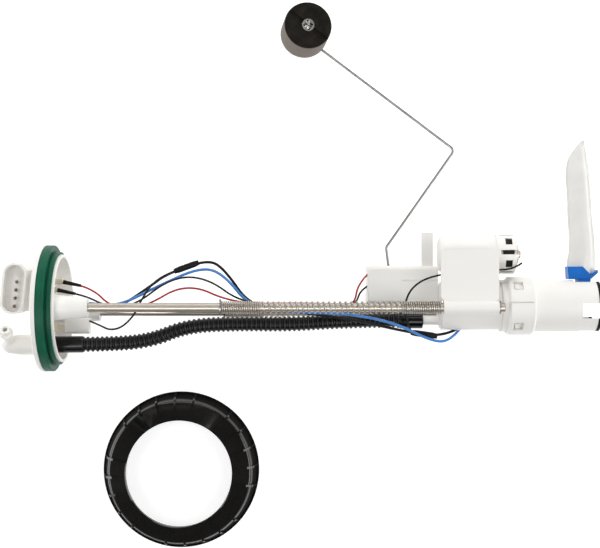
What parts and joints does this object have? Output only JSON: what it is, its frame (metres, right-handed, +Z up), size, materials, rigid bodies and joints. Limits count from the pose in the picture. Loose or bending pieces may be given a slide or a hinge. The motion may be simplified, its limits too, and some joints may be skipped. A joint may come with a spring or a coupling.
{
  "type": "fuel pump module",
  "caption": "In-tank fuel pump module: flange with seal, socket and outlet, sprung guide rods, pump with strainer sock, level sender with float arm, loose lock ring.",
  "frame": {"origin": "centre of the seal band that goes into the tank neck, on the flange axis", "axes": "+X along the module from the flange to the strainer end, +Y towards the side where the float swings, +Z up from the table that the module and its loose lock ring lie on"},
  "size_m": [0.4754, 0.4504, 0.1012],
  "materials": {
    "white_plastic": "satin moulded acetal",
    "green_rubber": "smooth fuel-proof seal rubber",
    "tinned_brass": "tinned",
    "black_sleeve": "shrunk sleeve",
    "rod_steel": "ground and zinc plated",
    "spring_steel": "drawn spring wire",
    "hose_black": "convoluted nylon hose",
    "wire_red": "wire insulation",
    "wire_black": "wire insulation",
    "wire_blue": "wire insulation",
    "black_rubber": "moulded rubber",
    "black_plastic": "moulded plastic",
    "bronze": "sintered bronze",
    "magnet": "sintered ferrite",
    "blue_plastic": "moulded nylon",
    "sock_mesh": "fine woven mesh",
    "card_ceramic": "printed resistor card",
    "float_rubber": "closed cell float rubber",
    "armature": "wound copper on a steel core",
    "ring_black": "moulded glossy nylon"
  },
  "bodies": {
    "flange": {"flange_cover": "white_plastic", "flange_seal": "green_rubber", "connector_pins": "tinned_brass", "wire_terminals": "tinned_brass", "terminal_sleeves": "black_sleeve", "ground_tab": "tinned_brass", "ground_holder": "white_plastic", "guide_rod_front": "rod_steel", "guide_rod_rear": "rod_steel", "spring_stops": "spring_steel", "rod_end_clips": "spring_steel", "spring_front": "spring_steel", "spring_rear": "spring_steel", "corrugated_hose": "hose_black", "sender_wire_red": "wire_red", "sender_wire_black": "wire_black", "pump_wire_blue": "wire_blue", "pump_wire_black": "wire_black", "ground_wire_upper": "wire_black", "splice_sleeve_upper": "black_sleeve"},
    "pump_module": {"ground_wire_lower": "wire_black", "splice_sleeve_lower": "black_sleeve", "carrier": "white_plastic", "pump_sleeve": "white_plastic", "foot_pads": "black_rubber", "pump_isolator": "black_rubber", "pump_outlet_cover": "black_plastic", "pump_outlet_grommet": "black_rubber", "shaft_bushes": "bronze", "pump_can": "rod_steel", "pump_magnets": "magnet", "pump_mid_plate": "black_plastic", "pump_inlet_cover": "black_plastic", "regulator_body": "rod_steel", "regulator_o_rings": "black_rubber", "regulator_holder": "black_plastic", "regulator_cap": "white_plastic", "ground_ring_terminal": "tinned_brass", "strainer_frame": "blue_plastic", "strainer_sock": "sock_mesh", "sender_housing": "white_plastic", "sender_back_plate": "white_plastic", "sender_card": "card_ceramic", "post_cap": "spring_steel"},
    "float_arm": {"arm_hub": "black_plastic", "float_arm": "rod_steel", "wiper": "bronze", "float_retainer": "spring_steel"},
    "float": {"level_float": "float_rubber"},
    "pump_rotor": {"rotor_shaft": "rod_steel", "rotor_armature": "armature", "impeller": "black_plastic"},
    "lock_ring": {"lock_ring": "ring_black"}
  },
  "joints": [
    {"name": "module_slide", "type": "slide", "parent": "flange", "child": "pump_module", "axis": [1, 0, 0], "range_m": [-0.055, 0], "stiffness_N_per_m": 300, "springref_m": 0.02, "deforming": ["spring_front", "spring_rear", "corrugated_hose", "sender_wire_red", "sender_wire_black", "pump_wire_blue", "pump_wire_black"]},
    {"name": "float_arm_swing", "type": "hinge", "parent": "pump_module", "child": "float_arm", "pos_m": [0.2686, 0.019, -0.044], "axis": [0, 0, 1], "range_deg": [-60, 35]},
    {"name": "float_spin", "type": "hinge", "parent": "float_arm", "child": "float", "pos_m": [0.19731, 0.22797, -0.02839], "axis": [0.1269, 0.103, 0.9866], "continuous": true},
    {"name": "pump_rotor_spin", "type": "hinge", "parent": "pump_module", "child": "pump_rotor", "pos_m": [0.39, 0.002, 0], "axis": [1, 0, 0], "continuous": true},
    {"name": "lock_ring_lift", "type": "slide", "parent": "flange", "child": "lock_ring", "axis": [0, 0, 1], "range_m": [0, 0.15]}
  ]
}
